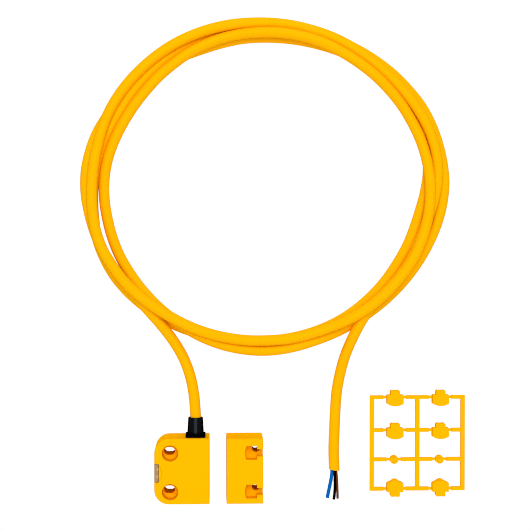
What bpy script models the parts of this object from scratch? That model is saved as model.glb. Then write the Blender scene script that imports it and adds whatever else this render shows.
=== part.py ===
"""Magnetic safety switch: a sensor with its cable, an actuator, and the moulded sprue of screw-hole caps.

Everything lies flat as on a bench, in metres, +Z up. The origin is the middle of the sensor's mounting
face. The sensor's front faces +Z, its cable leaves towards +Y, and its sensing side faces the actuator
at +X.
"""

import math

import bmesh
import bpy
from mathutils import Matrix, Vector

MM = 0.001

# Fits
SEAT_GAP = 0.3 * MM  # between pieces that rest on or in each other
LENS_GAP = 0.2 * MM  # round the indicator window, which is bonded in
CUT_PAST = 1.0 * MM  # how far a cutter runs past the face that it opens

# Both housings
BLOCK_TALL = 31.0 * MM  # along Y
BLOCK_DEEP = 18.0 * MM  # along Z, mounting face to front face
WALL = 2.0 * MM
FRONT_WALL = 2.5 * MM
FRONT_EDGE = 0.55 * MM  # rounding of the front face's edge
SHARP_CORNER = 0.45 * MM
COVER_THICK = 1.8 * MM
COVER_LEDGE = 0.8 * MM  # how far the cover's seat is let into the wall
HOLE_FROM_TOP = 6.83 * MM
HOLE_FROM_BOTTOM = 5.8 * MM
TOWER_WALL = 1.4 * MM

# Sensor
SENSOR_WIDE = 26.0 * MM  # along X
SENSOR_CORNER = 6.8 * MM  # the two left corners
HOLE_FROM_LEFT = 7.45 * MM
COUNTERBORE_ACROSS = 7.75 * MM
COUNTERBORE_DEEP = 7.0 * MM
SLOT_LONG = 5.2 * MM
SLOT_WIDE = 3.7 * MM
SLOT_TO_LEFT = 0.5 * MM  # from the counterbore's middle

# Indicator window in the sensor's left edge, and the shallow dish round it
WINDOW_WIDE = 1.9 * MM
WINDOW_TALL = 8.4 * MM
WINDOW_SKIN = 0.5 * MM
WINDOW_LID = 1.3 * MM
WINDOW_FOOT = 4.2 * MM  # height of its lower end over the mounting face
WINDOW_BELOW_HOLES = 0.25 * MM  # under the middle between the two screw holes
DISH_RADIUS = 6.1 * MM
DISH_OUTSIDE = 2.3 * MM  # the dish's centre lies this far outside the left face
DISH_DEEP = 0.6 * MM

# Cable and the boot that it leaves through
CABLE_ACROSS = 5.1 * MM
CABLE_FROM_RIGHT = 6.6 * MM
CABLE_UP = 11.0 * MM
BORE_CLEARANCE = 0.3 * MM
NECK_RADIUS = 3.4 * MM
COLLAR_RADIUS = 4.2 * MM
COLLAR_THICK = 0.9 * MM
FLANGE_WIDE = 9.4 * MM
FLANGE_TALL = 9.0 * MM  # along Z
FLANGE_CORNER = 0.8 * MM
FLANGE_THICK = 1.3 * MM
BOOT_ROOT_RADIUS = 3.95 * MM
BOOT_TIP_RADIUS = 3.5 * MM
BOOT_LONG = 9.4 * MM  # from the housing's face to the tip
BOOT_LIP = 0.5 * MM
JACKET_INSIDE = 6.0 * MM  # how far the jacket runs in past the housing's face

# Circuit board and what it carries
BOARD_UNDER = 4.4 * MM
BOARD_THICK = 1.2 * MM
BOARD_CLEAR = 0.45 * MM  # between the board and the screw towers
BOARD_CORNER = 0.6 * MM
PILLAR_RADIUS = 1.2 * MM
PILLAR_FROM_EDGES = (1.9 * MM, 2.7 * MM)  # in from the board's right edge, and from its two ends
PILLAR_FROM_LEFT = 5.0 * MM  # the one under the board's tongue
REED_RADIUS = 1.1 * MM
REED_LONG = 10.0 * MM
REED_LEAD_RADIUS = 0.3 * MM
REED_LEAD_LONG = 1.4 * MM
REED_FROM_SIDES = (1.7 * MM, 1.9 * MM)  # in from the board's right edge, and from its left one
LED_RADIUS = 0.65 * MM
LED_LONG = 3.4 * MM
LED_LEAD_RADIUS = 0.3 * MM
LED_ABOVE_WINDOW = (2.0 * MM, -1.4 * MM)  # over the middle of the window
RESISTOR_SIZE = (3.2 * MM, 1.6 * MM, 0.7 * MM)
RESISTOR_FROM_LEFT = 2.0 * MM
RESISTOR_FROM_TOP = (3.5 * MM, 6.5 * MM)
CORE_ACROSS = 1.4 * MM
CORE_PADS_BESIDE = (-1.9 * MM, 0.0, 1.9 * MM)  # of the cable's axis
CORE_PADS_FROM_TOP = 12.6 * MM
CORE_SPREAD = ((-0.95 * MM, 0.35 * MM), (0.0, -0.9 * MM), (0.95 * MM, 0.35 * MM))  # within the jacket, in X and Z
CORE_BENDS = (3.0 * MM, 1.6 * MM)  # along Y: from the jacket's end, and before the pad
CORE_LANDING = 1.3 * MM

# Actuator
ACTUATOR_GAP = 8.1 * MM  # between the two housings
ACTUATOR_WIDE = 17.35 * MM
POCKET_FROM_LEFT = 8.7 * MM
POCKET_WIDE = 5.75 * MM  # along X, from the bulge's crown to the straight wall
POCKET_TALL = 6.6 * MM
POCKET_DEEP = 5.9 * MM
POCKET_BULGE = 0.8 * MM
CHANNEL_TALL = 3.45 * MM
SCREW_HOLE_ACROSS = 3.7 * MM
SCREW_HOLE_FROM_LEFT = 14.0 * MM
SCREW_HOLE_UP = 1.4 * MM  # towards +Y from the pocket's middle
MAGNET_SIZE = (3.2 * MM, 5.6 * MM, 8.0 * MM)
MAGNET_END_WALL = 1.4 * MM
CARRIER_WIDE = 4.4 * MM
CARRIER_HIGH = 10.4 * MM
CARRIER_CORNER = 0.5 * MM

# Sprue of caps
BAR_WIDE = 1.95 * MM  # the upright bars
CROSSBAR_WIDE = 1.7 * MM
BAR_HIGH = 1.8 * MM
GATE_WIDE = 1.2 * MM
GATE_LONG = 1.6 * MM
GATE_HIGH = 1.2 * MM
SPRUE_LEFT = 92.15 * MM
SPRUE_TOP = 32.65 * MM
COLUMN_PITCH = 22.25 * MM
ROW_STEPS = (16.1 * MM, 14.3 * MM, 14.4 * MM)
CAP_WIDE = 8.05 * MM
CAP_SIDE = 4.2 * MM
CAP_CROWN = 1.25 * MM
CAP_STEM_WIDE = 4.55 * MM
CAP_STEM_LONG = 2.25 * MM
CAP_SHOULDER = 1.3 * MM  # from the crossbar's middle to the cap's shoulder
CAP_HIGH = 3.6 * MM
CAP_CORNER = 0.3 * MM
CAP_STEM_CORNER = 0.5 * MM
CAP_STEM_DIP = 0.15 * MM
CAP_NOSE_ACROSS = 4.9 * MM
CAP_NOSE_OUT = 0.7 * MM
CAP_NOSE_UNDER = 0.4 * MM  # how far the nose stays under the cap's top
PEG_ACROSS = 4.0 * MM
PEG_HIGH = 2.7 * MM
PEG_NIB_ACROSS = 2.4 * MM
PEG_NIB_HIGH = 0.6 * MM
PEG_TO_LEFT = 0.4 * MM  # of the middle between two bars

# Coil of cable: its mean line is this ellipse
COIL_MIDDLE = (39.8 * MM, 134.6 * MM)
COIL_RADII = (82.0 * MM, 74.3 * MM)
COIL_OUTSIDE = 7.6 * MM  # from the mean line to the bundle's outer side
COIL_INSIDE = 8.8 * MM
COIL_HIGH = 13.9 * MM

# Routes of the two loose stretches, as points that the cable passes through
LEAD_ROUTE = [
    (6.40, 10.00, 11.00), (6.40, 17.00, 11.00), (6.45, 25.10, 11.00), (6.40, 30.00, 10.30), (5.80, 36.40, 7.40),
    (4.10, 43.70, 4.20), (0.60, 51.90, 2.90), (-5.50, 61.50, 3.60),
]
TAIL_ROUTE = [
    (80.45, 60.10, 2.80), (78.55, 54.10, 2.60), (76.45, 46.50, 2.55), (75.05, 36.50, 2.55), (74.30, 26.50, 2.55),
    (73.75, 16.50, 2.55), (73.60, 6.50, 2.55), (73.75, -2.50, 2.55),
]
CORE_ROUTES = {
    "blue": [(72.70, -2.80, 2.75), (72.20, -6.50, 2.30), (71.40, -11.70, 1.30), (70.60, -16.70, 0.75)],
    "black": [(73.75, -2.80, 1.35), (73.95, -7.00, 1.15), (74.05, -12.00, 0.85), (73.65, -17.40, 0.75)],
    "brown": [(74.70, -2.80, 2.75), (75.20, -6.50, 2.30), (75.50, -10.50, 1.50), (75.60, -17.10, 0.75)],
}

ROUND_SIDES = 40
CORNER_STEPS = 8
COIL_STEPS = 72
COIL_SIDES = 12
CABLE_RESOLUTION = 2
CORE_RESOLUTION = 2

# Places that follow from the sizes above
SENSOR_LEFT = -SENSOR_WIDE / 2
SENSOR_RIGHT = SENSOR_WIDE / 2
BLOCK_TOP = BLOCK_TALL / 2
HOLE_X = SENSOR_LEFT + HOLE_FROM_LEFT
HOLE_YS = [BLOCK_TOP - HOLE_FROM_TOP, HOLE_FROM_BOTTOM - BLOCK_TOP]
ACTUATOR_LEFT = SENSOR_RIGHT + ACTUATOR_GAP
ACTUATOR_RIGHT = ACTUATOR_LEFT + ACTUATOR_WIDE
TOWER_RADIUS = COUNTERBORE_ACROSS / 2 + TOWER_WALL
SEAT_DEPTH = COVER_THICK + SEAT_GAP
WINDOW_Y = sum(HOLE_YS) / 2 - WINDOW_BELOW_HOLES
WINDOW_TOP = BLOCK_DEEP - DISH_DEEP - LENS_GAP / 4
CABLE_X = SENSOR_RIGHT - CABLE_FROM_RIGHT
BOARD_LEFT = HOLE_X + TOWER_RADIUS + BOARD_CLEAR
BOARD_RIGHT = SENSOR_RIGHT - WALL - SEAT_GAP
BOARD_END = BLOCK_TOP - WALL - COLLAR_THICK - 2 * SEAT_GAP
BOARD_START = -BLOCK_TOP + WALL + SEAT_GAP
BOARD_TOP = BOARD_UNDER + BOARD_THICK
ON_BOARD = BOARD_TOP + SEAT_GAP
CORE_PADS_Y = BLOCK_TOP - CORE_PADS_FROM_TOP
POCKET_LEFT = ACTUATOR_LEFT + POCKET_FROM_LEFT
SCREW_HOLE_X = ACTUATOR_LEFT + SCREW_HOLE_FROM_LEFT
CARRIER_LEFT = ACTUATOR_LEFT + WALL + SEAT_GAP
CARRIER_TALL = BLOCK_TALL - 2 * (WALL + SEAT_GAP)
MAGNET_PITCH = (CARRIER_TALL - MAGNET_SIZE[1]) / 2 - MAGNET_END_WALL - SEAT_GAP


def clear_scene():
    for old in list(bpy.data.objects):
        bpy.data.objects.remove(old, do_unlink=True)


def finish(name, colour, roughness, metallic=0.0):
    """A plain Principled material."""
    made = bpy.data.materials.new(name)
    made.use_nodes = True
    shader = made.node_tree.nodes["Principled BSDF"]
    shader.inputs["Base Color"].default_value = (*colour, 1.0)
    shader.inputs["Roughness"].default_value = roughness
    shader.inputs["Metallic"].default_value = metallic
    return made


def show(name, mesh, material):
    """Puts a mesh into the scene as the named piece."""
    piece = bpy.data.objects.new(name, mesh)
    bpy.context.scene.collection.objects.link(piece)
    if material:
        piece.data.materials.append(material)
    return piece


def as_mesh(work, name, smooth_angle=35.0):
    bmesh.ops.recalc_face_normals(work, faces=work.faces[:])
    mesh = bpy.data.meshes.new(name)
    work.to_mesh(mesh)
    work.free()
    mesh.shade_smooth()
    mesh.set_sharp_from_angle(angle=math.radians(smooth_angle))
    return mesh


def loft(name, rings):
    """A closed solid through rings of equally many points, with flat ends."""
    work = bmesh.new()
    rows = [[work.verts.new(point) for point in ring] for ring in rings]
    count = len(rows[0])
    for lower, upper in zip(rows, rows[1:]):
        for i in range(count):
            j = (i + 1) % count
            work.faces.new((lower[i], lower[j], upper[j], upper[i]))
    work.faces.new(rows[0][::-1])
    work.faces.new(rows[-1])
    return as_mesh(work, name)


def prism(name, outline, low, high):
    return loft(name, [[(x, y, z) for x, y in outline] for z in (low, high)])


def turned(name, profile, place, axis="Z", sides=ROUND_SIDES):
    """A solid of revolution. The profile is (radius, along) pairs, closed on itself or on the axis."""
    work = bmesh.new()
    rows = []
    for radius, along in profile:
        if radius < 1e-7:
            rows.append([work.verts.new((0, 0, along))])
            continue
        angles = [2 * math.pi * i / sides for i in range(sides)]
        rows.append([work.verts.new((radius * math.cos(a), radius * math.sin(a), along)) for a in angles])
    hollow = profile[0][0] > 1e-7
    pairs = list(zip(rows, rows[1:] + rows[:1])) if hollow else list(zip(rows, rows[1:]))
    for first, second in pairs:
        for i in range(sides):
            j = (i + 1) % sides
            corners = [first[i % len(first)], first[j % len(first)], second[j % len(second)], second[i % len(second)]]
            work.faces.new(list(dict.fromkeys(corners)))
    turn = {"X": Matrix.Rotation(math.pi / 2, 4, "Y"), "Y": Matrix.Rotation(-math.pi / 2, 4, "X"), "Z": Matrix()}[axis]
    bmesh.ops.transform(work, matrix=Matrix.Translation(place) @ turn, verts=work.verts[:])
    return as_mesh(work, name)


def rounded(left, bottom, right, top, radii, inset=0.0, steps=CORNER_STEPS):
    """Outline of a rectangle with its own radius at each corner: bottom left, bottom right, top right, top left."""
    corners = [(left, bottom, 180), (right, bottom, 270), (right, top, 0), (left, top, 90)]
    points = []
    for (x, y, start), radius in zip(corners, radii):
        middle = (x + math.copysign(radius, -x + (left + right) / 2), y + math.copysign(radius, -y + (bottom + top) / 2))
        small = max(radius - inset, 0.05 * MM)
        for step in range(steps + 1):
            angle = math.radians(start + 90 * step / steps)
            spread = radius - inset if radius > inset else small
            points.append((middle[0] + spread * math.cos(angle), middle[1] + spread * math.sin(angle)))
    return points


def slot_outline(x, y, long, wide, steps=ROUND_SIDES // 2):
    """Outline of a slot with round ends, long along X."""
    reach = (long - wide) / 2
    right = [math.pi * (i / steps - 0.5) for i in range(steps + 1)]
    ends = [(reach, right), (-reach, [a + math.pi for a in right])]
    return [(x + off + wide / 2 * math.cos(a), y + wide / 2 * math.sin(a)) for off, angles in ends for a in angles]


def cutter(name, mesh):
    tool = show(name, mesh, None)
    tool.hide_render = True
    tool.display_type = "WIRE"
    return tool


def combine(piece, tool_name, mesh, operation):
    step = piece.modifiers.new(tool_name, "BOOLEAN")
    step.operation = operation
    step.solver = "EXACT"
    step.object = cutter(f"{piece.name}_{tool_name}", mesh)


def cut(piece, tool_name, mesh):
    combine(piece, tool_name, mesh, "DIFFERENCE")


def add(piece, tool_name, mesh):
    combine(piece, tool_name, mesh, "UNION")


def block(name, left, right, radii, material):
    """The outer form of a housing, with its front edge rounded over."""
    edge = [(0.0, 0.0), (BLOCK_DEEP - FRONT_EDGE, 0.0), (BLOCK_DEEP - 0.5 * FRONT_EDGE, 0.134 * FRONT_EDGE),
            (BLOCK_DEEP - 0.134 * FRONT_EDGE, 0.5 * FRONT_EDGE), (BLOCK_DEEP, FRONT_EDGE)]
    rings = []
    for height, inset in edge:
        outline = rounded(left, -BLOCK_TOP, right, BLOCK_TOP, radii, inset)
        rings.append([(x, y, height) for x, y in outline])
    return show(name, loft(name, rings), material)


def hollow_out(piece, left, right, radii):
    """Opens a housing at the back, with a wider seat for its cover."""
    inner = rounded(left, -BLOCK_TOP, right, BLOCK_TOP, radii, WALL)
    seat = rounded(left, -BLOCK_TOP, right, BLOCK_TOP, radii, WALL - COVER_LEDGE)
    cut(piece, "cavity", prism("cavity", inner, -CUT_PAST, BLOCK_DEEP - FRONT_WALL))
    cut(piece, "cover_seat", prism("cover_seat", seat, -CUT_PAST, SEAT_DEPTH))


def rear_cover(name, left, right, radii, material):
    outline = rounded(left, -BLOCK_TOP, right, BLOCK_TOP, radii, WALL - COVER_LEDGE + SEAT_GAP)
    return show(name, prism(name, outline, 0.0, COVER_THICK), material)


def inner_radii(radii):
    """Corner radii that leave something to round after the wall is taken off."""
    return [max(radius, WALL + 0.6 * MM) for radius in radii]


def sensor_housing(material):
    radii = [SENSOR_CORNER, SHARP_CORNER, SHARP_CORNER, SENSOR_CORNER]
    piece = block("sensor_housing", SENSOR_LEFT, SENSOR_RIGHT, radii, material)
    hollow_out(piece, SENSOR_LEFT, SENSOR_RIGHT, inner_radii(radii))
    for number, y in enumerate(HOLE_YS, 1):
        column = [(0.0, 0.0), (TOWER_RADIUS, 0.0), (TOWER_RADIUS, BLOCK_DEEP - FRONT_WALL / 2),
                  (0.0, BLOCK_DEEP - FRONT_WALL / 2)]
        add(piece, f"tower_{number}", turned("tower", column, (HOLE_X, y, 0.0)))
    for number, y in enumerate(HOLE_YS, 1):
        floor = BLOCK_DEEP - COUNTERBORE_DEEP
        reach = COUNTERBORE_ACROSS / 2
        bore = [(0.0, floor), (reach, floor), (reach, BLOCK_DEEP + CUT_PAST), (0.0, BLOCK_DEEP + CUT_PAST)]
        cut(piece, f"counterbore_{number}", turned("counterbore", bore, (HOLE_X, y, 0.0)))
        slot = slot_outline(HOLE_X - SLOT_TO_LEFT, y, SLOT_LONG, SLOT_WIDE)
        cut(piece, f"slot_{number}", prism("slot", slot, -CUT_PAST, BLOCK_DEEP - COUNTERBORE_DEEP / 2))
    dish = [(0.0, 0.0), (DISH_RADIUS - DISH_DEEP, 0.0), (DISH_RADIUS, DISH_DEEP), (DISH_RADIUS, DISH_DEEP + CUT_PAST),
            (0.0, DISH_DEEP + CUT_PAST)]
    dish_place = (SENSOR_LEFT - DISH_OUTSIDE, WINDOW_Y, BLOCK_DEEP - DISH_DEEP)
    cut(piece, "dish", turned("dish", dish, dish_place, sides=2 * ROUND_SIDES))
    half = WINDOW_TALL / 2 + LENS_GAP
    right = SENSOR_LEFT + WINDOW_WIDE + LENS_GAP
    window_slot = [(SENSOR_LEFT - CUT_PAST, WINDOW_Y - half), (right, WINDOW_Y - half), (right, WINDOW_Y + half),
                   (SENSOR_LEFT - CUT_PAST, WINDOW_Y + half)]
    slot_foot = WINDOW_FOOT - LENS_GAP
    cut(piece, "window_slot", prism("window_slot", window_slot, slot_foot, BLOCK_DEEP + CUT_PAST))
    wall_hole = [(0.0, -WALL - CUT_PAST), (NECK_RADIUS + SEAT_GAP, -WALL - CUT_PAST),
                 (NECK_RADIUS + SEAT_GAP, CUT_PAST), (0.0, CUT_PAST)]
    cut(piece, "cable_hole", turned("cable_hole", wall_hole, (CABLE_X, BLOCK_TOP, CABLE_UP), "Y"))
    return piece


def sensor_rear_cover(material):
    radii = inner_radii([SENSOR_CORNER, SHARP_CORNER, SHARP_CORNER, SENSOR_CORNER])
    piece = rear_cover("sensor_rear_cover", SENSOR_LEFT, SENSOR_RIGHT, radii, material)
    for number, y in enumerate(HOLE_YS, 1):
        reach = TOWER_RADIUS + SEAT_GAP
        room = [(0.0, -CUT_PAST), (reach, -CUT_PAST), (reach, COVER_THICK + CUT_PAST), (0.0, COVER_THICK + CUT_PAST)]
        cut(piece, f"tower_room_{number}", turned("tower_room", room, (HOLE_X, y, 0.0)))
    across, along = PILLAR_FROM_EDGES
    places = [(BOARD_RIGHT - across, BOARD_START + along), (BOARD_RIGHT - across, BOARD_END - along),
              (SENSOR_LEFT + PILLAR_FROM_LEFT, WINDOW_Y)]
    for number, (x, y) in enumerate(places, 1):
        top = BOARD_UNDER - SEAT_GAP
        pillar = [(0.0, COVER_THICK / 2), (PILLAR_RADIUS, COVER_THICK / 2), (PILLAR_RADIUS, top), (0.0, top)]
        add(piece, f"pillar_{number}", turned("pillar", pillar, (x, y, 0.0), sides=16))
    return piece


def indicator_window(material):
    """The clear strip in the left edge, hollow behind so that the two lamps stand in it."""
    left, right = SENSOR_LEFT, SENSOR_LEFT + WINDOW_WIDE
    outline = box_outline((left + right) / 2, WINDOW_Y, WINDOW_WIDE, WINDOW_TALL)
    piece = show("indicator_window", prism("window", outline, WINDOW_FOOT, WINDOW_TOP), material)
    half = WINDOW_TALL / 2 - 2 * WINDOW_SKIN
    room = [(left + WINDOW_SKIN, WINDOW_Y - half), (right + CUT_PAST, WINDOW_Y - half),
            (right + CUT_PAST, WINDOW_Y + half), (left + WINDOW_SKIN, WINDOW_Y + half)]
    cut(piece, "lamp_room", prism("lamp_room", room, WINDOW_FOOT - CUT_PAST, WINDOW_TOP - WINDOW_LID))
    return piece


def circuit_board(material):
    """The board, with a tongue between the two towers that reaches into the window."""
    left = SENSOR_LEFT + WINDOW_SKIN + SEAT_GAP
    reach = WINDOW_TALL / 2 - 2 * WINDOW_SKIN - SEAT_GAP
    upper = min(WINDOW_Y + reach, HOLE_YS[0] - TOWER_RADIUS - SEAT_GAP)
    lower = max(WINDOW_Y - reach, HOLE_YS[1] + TOWER_RADIUS + SEAT_GAP)
    inner = BOARD_RIGHT - BOARD_CORNER
    outline = [(left, lower), (BOARD_LEFT, lower), (BOARD_LEFT, BOARD_START), (inner, BOARD_START),
               (BOARD_RIGHT, BOARD_START + BOARD_CORNER), (BOARD_RIGHT, BOARD_END - BOARD_CORNER), (inner, BOARD_END),
               (BOARD_LEFT, BOARD_END), (BOARD_LEFT, upper), (left, upper)]
    return show("circuit_board", prism("circuit_board", outline, BOARD_UNDER, BOARD_TOP), material)


def reed_switch(number, x, material):
    """A sealed glass capsule with its two axial leads, lying along Y on the board."""
    half, lead_end = REED_LONG / 2, REED_LONG / 2 + REED_LEAD_LONG
    shoulder = 0.55 * REED_RADIUS
    side = [(0.0, lead_end), (REED_LEAD_RADIUS, lead_end), (REED_LEAD_RADIUS, half), (shoulder, half - 0.15 * MM),
            (REED_RADIUS, half - 1.0 * MM)]
    profile = side + [(radius, -along) for radius, along in side[::-1]]
    place = (x, BOARD_START + SEAT_GAP + lead_end, ON_BOARD + REED_RADIUS)
    return show(f"reed_switch_{number}", turned("reed", profile, place, "Y", sides=16), material)


def indicator_led(number, y, material):
    """A small domed lamp on its leads, standing in the window."""
    foot = ON_BOARD
    tip = WINDOW_TOP - WINDOW_LID - SEAT_GAP
    base = tip - LED_LONG
    dome = [(LED_RADIUS * math.cos(math.radians(a)), tip - LED_RADIUS + LED_RADIUS * math.sin(math.radians(a)))
            for a in (0, 30, 60)]
    profile = [(0.0, foot), (LED_LEAD_RADIUS, foot), (LED_LEAD_RADIUS, base), (LED_RADIUS, base), *dome, (0.0, tip)]
    place = (SENSOR_LEFT + WINDOW_SKIN + SEAT_GAP + LED_RADIUS, y, 0.0)
    return show(f"indicator_led_{number}", turned("led", profile, place, sides=16), material)


def chip_resistor(number, x, y, material):
    long, wide, high = RESISTOR_SIZE
    outline = rounded(x - long / 2, y - wide / 2, x + long / 2, y + wide / 2, [0.15 * MM] * 4, steps=2)
    return show(f"chip_resistor_{number}", prism("resistor", outline, ON_BOARD, ON_BOARD + high), material)


def cable_boot(material):
    """The rubber strain relief: a collar inside, a neck in the wall, a square flange and a tapered sleeve outside."""
    wall_inside = -WALL - SEAT_GAP
    flange_middle = SEAT_GAP + FLANGE_THICK / 2
    profile = [
        (0.0, wall_inside - COLLAR_THICK), (COLLAR_RADIUS, wall_inside - COLLAR_THICK), (COLLAR_RADIUS, wall_inside),
        (NECK_RADIUS, wall_inside), (NECK_RADIUS, flange_middle), (BOOT_ROOT_RADIUS, flange_middle),
        (BOOT_TIP_RADIUS, BOOT_LONG - BOOT_LIP), (BOOT_TIP_RADIUS - 0.3 * BOOT_LIP, BOOT_LONG - 0.2 * BOOT_LIP),
        (BOOT_TIP_RADIUS - 0.7 * BOOT_LIP, BOOT_LONG), (0.0, BOOT_LONG),
    ]
    place = (CABLE_X, BLOCK_TOP, CABLE_UP)
    piece = show("cable_boot", turned("cable_boot", profile, place, "Y"), material)
    half_wide, half_tall = FLANGE_WIDE / 2, FLANGE_TALL / 2
    flange = []
    for along in (SEAT_GAP, SEAT_GAP + FLANGE_THICK):
        outline = rounded(CABLE_X - half_wide, CABLE_UP - half_tall, CABLE_X + half_wide, CABLE_UP + half_tall,
                          [FLANGE_CORNER] * 4, steps=4)
        flange.append([(x, BLOCK_TOP + along, z) for x, z in outline])
    add(piece, "flange", loft("flange", flange))
    reach = CABLE_ACROSS / 2 + BORE_CLEARANCE
    ends = (wall_inside - COLLAR_THICK - CUT_PAST, BOOT_LONG + CUT_PAST)
    bore = [(0.0, ends[0]), (reach, ends[0]), (reach, ends[1]), (0.0, ends[1])]
    cut(piece, "bore", turned("bore", bore, place, "Y"))
    return piece


def smooth_route(points, step):
    """Evenly spaced points along a smooth curve through the given ones, all in metres."""
    given = [Vector(point) * MM for point in points]
    padded = [2 * given[0] - given[1], *given, 2 * given[-1] - given[-2]]
    fine = []
    for a, b, c, d in zip(padded, padded[1:], padded[2:], padded[3:]):
        for i in range(24):
            t = i / 24
            fine.append(0.5 * (2 * b + (c - a) * t + (2 * a - 5 * b + 4 * c - d) * t * t
                               + (3 * b - a - 3 * c + d) * t * t * t))
    fine.append(given[-1])
    total = sum((q - p).length for p, q in zip(fine, fine[1:]))
    count = max(3, round(total / step))
    marks, run = [fine[0]], 0.0
    for p, q in zip(fine, fine[1:]):
        length = (q - p).length
        while len(marks) < count and run + length >= total * len(marks) / count:
            share = (total * len(marks) / count - run) / length
            marks.append(p.lerp(q, share))
        run += length
    return marks + [fine[-1]]


def tube(name, points, across, step, resolution, material):
    """A round cord along a route, with flat ends."""
    curve = bpy.data.curves.new(name, "CURVE")
    curve.dimensions = "3D"
    curve.bevel_depth = across / 2
    curve.bevel_resolution = resolution
    curve.use_fill_caps = True
    marks = smooth_route(points, step)
    spline = curve.splines.new("POLY")
    spline.points.add(len(marks) - 1)
    for mark, place in zip(spline.points, marks):
        mark.co = (*place, 1.0)
    piece = bpy.data.objects.new(name, curve)
    bpy.context.scene.collection.objects.link(piece)
    curve.materials.append(material)
    return piece


def cable_coil(material):
    """The outer form of the coiled turns: one ring of oval section along the coil's mean ellipse."""
    middle_out = (COIL_OUTSIDE - COIL_INSIDE) / 2
    half_wide = (COIL_OUTSIDE + COIL_INSIDE) / 2
    work = bmesh.new()
    rings = []
    for i in range(COIL_STEPS):
        turn = 2 * math.pi * i / COIL_STEPS
        outward = Vector((math.cos(turn) / COIL_RADII[0], math.sin(turn) / COIL_RADII[1], 0.0)).normalized()
        spine = Vector((COIL_MIDDLE[0] + COIL_RADII[0] * math.cos(turn),
                        COIL_MIDDLE[1] + COIL_RADII[1] * math.sin(turn), COIL_HIGH / 2))
        ring = []
        for j in range(COIL_SIDES):
            angle = 2 * math.pi * (j + 0.5) / COIL_SIDES
            across, up = math.cos(angle), math.sin(angle)
            stretch = 1 / math.cos(math.pi / COIL_SIDES)
            ring.append(work.verts.new(spine + outward * (middle_out + half_wide * across * stretch)
                                       + Vector((0, 0, COIL_HIGH / 2 * up * stretch))))
        rings.append(ring)
    for i in range(COIL_STEPS):
        for j in range(COIL_SIDES):
            k, m = (i + 1) % COIL_STEPS, (j + 1) % COIL_SIDES
            work.faces.new((rings[i][j], rings[k][j], rings[k][m], rings[i][m]))
    return show("cable_coil", as_mesh(work, "cable_coil"), material)


def pocket_outline(y, right=POCKET_LEFT + POCKET_WIDE, grow=0.0):
    """The screw pocket, a D with its bulge towards the sensor. right is where it ends towards the channel."""
    left = POCKET_LEFT - grow
    half = POCKET_TALL / 2 + grow
    radius = (half * half + POCKET_BULGE * POCKET_BULGE) / (2 * POCKET_BULGE)
    swing = math.asin(half / radius)
    steps = 12
    arc = [math.pi - swing * (1 - 2 * i / steps) for i in range(steps + 1)]
    points = [(left + radius + radius * math.cos(a), y + radius * math.sin(a)) for a in arc]
    return [(right, y + half), *points, (right, y - half)]


def actuator_housing(material):
    radii = [SHARP_CORNER] * 4
    piece = block("actuator_housing", ACTUATOR_LEFT, ACTUATOR_RIGHT, radii, material)
    hollow_out(piece, ACTUATOR_LEFT, ACTUATOR_RIGHT, inner_radii(radii))
    for number, y in enumerate(HOLE_YS, 1):
        outline = pocket_outline(y, ACTUATOR_RIGHT - WALL / 2, TOWER_WALL)
        add(piece, f"tower_{number}", prism("tower", outline, 0.0, BLOCK_DEEP - FRONT_WALL / 2))
    for number, y in enumerate(HOLE_YS, 1):
        floor = BLOCK_DEEP - POCKET_DEEP
        cut(piece, f"pocket_{number}", prism("pocket", pocket_outline(y), floor, BLOCK_DEEP + CUT_PAST))
        right = ACTUATOR_RIGHT + CUT_PAST
        channel = [(SCREW_HOLE_X, y - CHANNEL_TALL / 2), (right, y - CHANNEL_TALL / 2), (right, y + CHANNEL_TALL / 2),
                   (SCREW_HOLE_X, y + CHANNEL_TALL / 2)]
        cut(piece, f"channel_{number}", prism("channel", channel, floor, BLOCK_DEEP + CUT_PAST))
        reach = SCREW_HOLE_ACROSS / 2
        hole = [(0.0, -CUT_PAST), (reach, -CUT_PAST), (reach, floor + CUT_PAST), (0.0, floor + CUT_PAST)]
        cut(piece, f"screw_hole_{number}", turned("screw_hole", hole, (SCREW_HOLE_X, y + SCREW_HOLE_UP, 0.0)))
    return piece


def actuator_rear_cover(material):
    radii = inner_radii([SHARP_CORNER] * 4)
    piece = rear_cover("actuator_rear_cover", ACTUATOR_LEFT, ACTUATOR_RIGHT, radii, material)
    for number, y in enumerate(HOLE_YS, 1):
        room = pocket_outline(y, ACTUATOR_RIGHT + CUT_PAST, TOWER_WALL + SEAT_GAP)
        cut(piece, f"tower_room_{number}", prism("tower_room", room, -CUT_PAST, COVER_THICK + CUT_PAST))
    return piece


def box_outline(x, y, wide, tall):
    return [(x - wide / 2, y - tall / 2), (x + wide / 2, y - tall / 2), (x + wide / 2, y + tall / 2),
            (x - wide / 2, y + tall / 2)]


def magnet_carrier(material):
    """A moulded rack that holds the magnets against the side that faces the sensor."""
    half = CARRIER_TALL / 2
    low = BLOCK_DEEP - FRONT_WALL - SEAT_GAP - CARRIER_HIGH
    outline = rounded(CARRIER_LEFT, -half, CARRIER_LEFT + CARRIER_WIDE, half, [CARRIER_CORNER] * 4, steps=3)
    piece = show("magnet_carrier", prism("carrier", outline, low, low + CARRIER_HIGH), material)
    depth, long, up = (size + 2 * SEAT_GAP for size in MAGNET_SIZE)
    for number in range(3):
        y = (number - 1) * MAGNET_PITCH
        room = box_outline(CARRIER_LEFT + (depth - CUT_PAST) / 2, y, depth + CUT_PAST, long)
        middle = low + CARRIER_HIGH / 2
        cut(piece, f"magnet_room_{number + 1}", prism("magnet_room", room, middle - up / 2, middle + up / 2))
    return piece


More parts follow.
